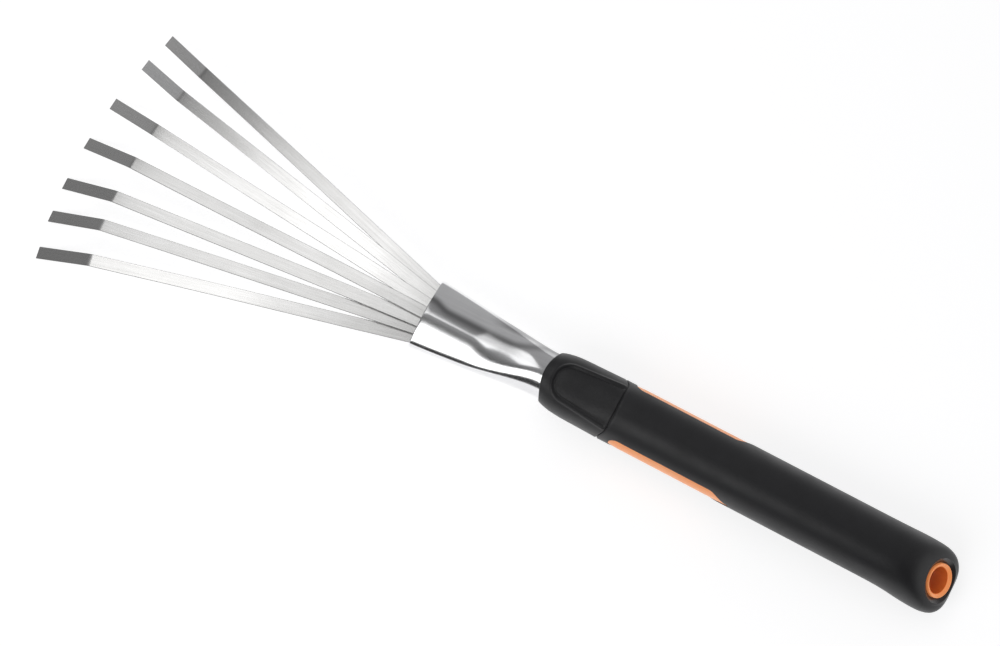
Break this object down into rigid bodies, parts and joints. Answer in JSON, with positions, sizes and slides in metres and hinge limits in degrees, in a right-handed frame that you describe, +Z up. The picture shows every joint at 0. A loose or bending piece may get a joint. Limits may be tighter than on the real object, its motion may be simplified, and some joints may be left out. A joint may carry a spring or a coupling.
{
  "type": "hand rake",
  "caption": "Short-handled spring-tine hand rake: flat steel tines fan out of a flattened steel socket in a black soft grip with orange side windows and a hanging hole.",
  "frame": {"origin": "middle of the bottom of the bounding box, with the rake lying on its tine tips and on the heel of its grip", "axes": "+X from the tine tips to the butt, +Z up, +Y to the left of someone looking along +X"},
  "size_m": [0.414, 0.1148, 0.0318],
  "materials": {
    "spring_steel": "spring steel strip, fine grain along its length",
    "stainless": "polished to a satin, softly mirrored",
    "black_hard": "fine moulded grain",
    "black_soft": "smooth satin soft overmould",
    "orange": "smooth orange moulding"
  },
  "bodies": {
    "handle": {"socket_tube": "stainless", "tine_rivet": "stainless", "front_collar": "black_hard", "grip_sleeve": "black_soft", "handle_core": "orange"},
    "tine_1": {"tine_1": "spring_steel"},
    "tine_2": {"tine_2": "spring_steel"},
    "tine_3": {"tine_3": "spring_steel"},
    "tine_4": {"tine_4": "spring_steel"},
    "tine_5": {"tine_5": "spring_steel"},
    "tine_6": {"tine_6": "spring_steel"},
    "tine_7": {"tine_7": "spring_steel"}
  },
  "joints": [
    {"name": "tine_1_flex", "type": "hinge", "parent": "handle", "child": "tine_1", "pos_m": [-0.05487, 0.0128, 0.01574], "axis": [0.2689, 0.9632, 0], "range_deg": [-8, 10], "stiffness_Nm_per_rad": 0.68, "deforming": ["tine_1"]},
    {"name": "tine_2_flex", "type": "hinge", "parent": "handle", "child": "tine_2", "pos_m": [-0.05593, 0.00836, 0.01748], "axis": [0.1951, 0.9808, 0], "range_deg": [-8, 10], "stiffness_Nm_per_rad": 0.68, "deforming": ["tine_2"]},
    {"name": "tine_3_flex", "type": "hinge", "parent": "handle", "child": "tine_3", "pos_m": [-0.0568, 0.0024, 0.01922], "axis": [0.0958, 0.9954, 0], "range_deg": [-8, 10], "stiffness_Nm_per_rad": 0.68, "deforming": ["tine_3"]},
    {"name": "tine_4_flex", "type": "hinge", "parent": "handle", "child": "tine_4", "pos_m": [-0.05708, -0.0032, 0.02009], "axis": [0.0026, 1, 0], "range_deg": [-8, 10], "stiffness_Nm_per_rad": 0.68, "deforming": ["tine_4"]},
    {"name": "tine_5_flex", "type": "hinge", "parent": "handle", "child": "tine_5", "pos_m": [-0.05685, -0.00865, 0.01835], "axis": [-0.088, 0.9961, 0], "range_deg": [-8, 10], "stiffness_Nm_per_rad": 0.68, "deforming": ["tine_5"]},
    {"name": "tine_6_flex", "type": "hinge", "parent": "handle", "child": "tine_6", "pos_m": [-0.0563, -0.01302, 0.01661], "axis": [-0.1607, 0.987, 0], "range_deg": [-8, 10], "stiffness_Nm_per_rad": 0.68, "deforming": ["tine_6"]},
    {"name": "tine_7_flex", "type": "hinge", "parent": "handle", "child": "tine_7", "pos_m": [-0.05524, -0.0181, 0.01487], "axis": [-0.2453, 0.9694, 0], "range_deg": [-8, 10], "stiffness_Nm_per_rad": 0.68, "deforming": ["tine_7"]}
  ]
}
